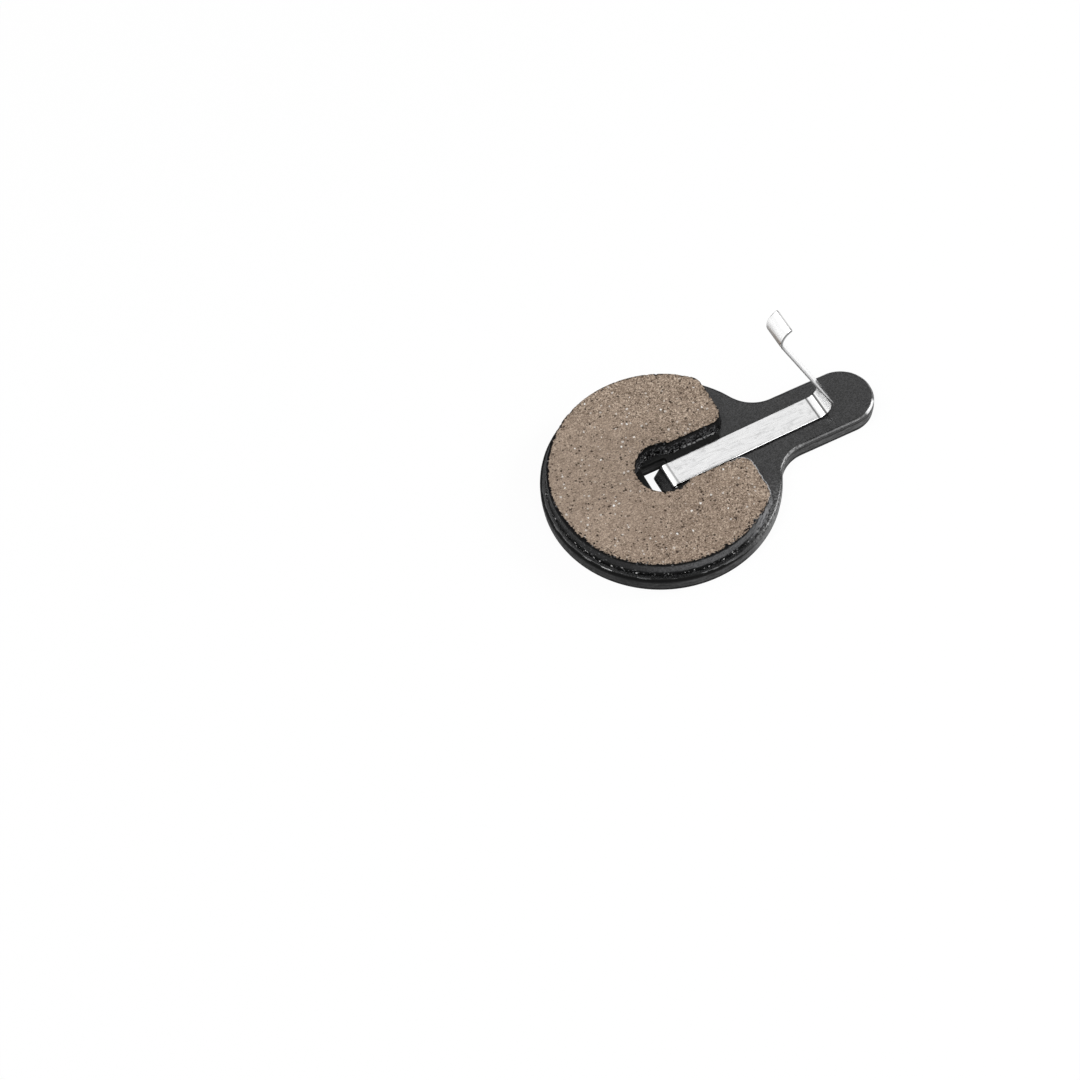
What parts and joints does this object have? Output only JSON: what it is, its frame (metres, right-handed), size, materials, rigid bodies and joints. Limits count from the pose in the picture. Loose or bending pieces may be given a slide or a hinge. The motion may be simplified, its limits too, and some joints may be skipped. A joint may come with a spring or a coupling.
{
  "type": "disc brake pad",
  "caption": "Round disc brake pad on a steel plate with a tail: a keyhole-slotted semi-metallic lining and a folded strip spring hooked into the plate.",
  "frame": {"origin": "centre of the disc and of the spring's hole, on the plate's back face", "axes": "+X along the tail, +Z from the back face to the friction face, +Y across the tail"},
  "size_m": [0.0356, 0.024, 0.0191],
  "materials": {
    "black_paint": "satin black paint with a fine orange-peel",
    "friction_lining": "ground brown lining with dark pits and metal flecks, painted black on its walls",
    "spring_steel": "bright rolled strip with faint lengthwise scratches"
  },
  "bodies": {
    "root": {"backing_plate": "black_paint", "friction_pad": "friction_lining", "return_spring": "spring_steel"}
  },
  "joints": []
}
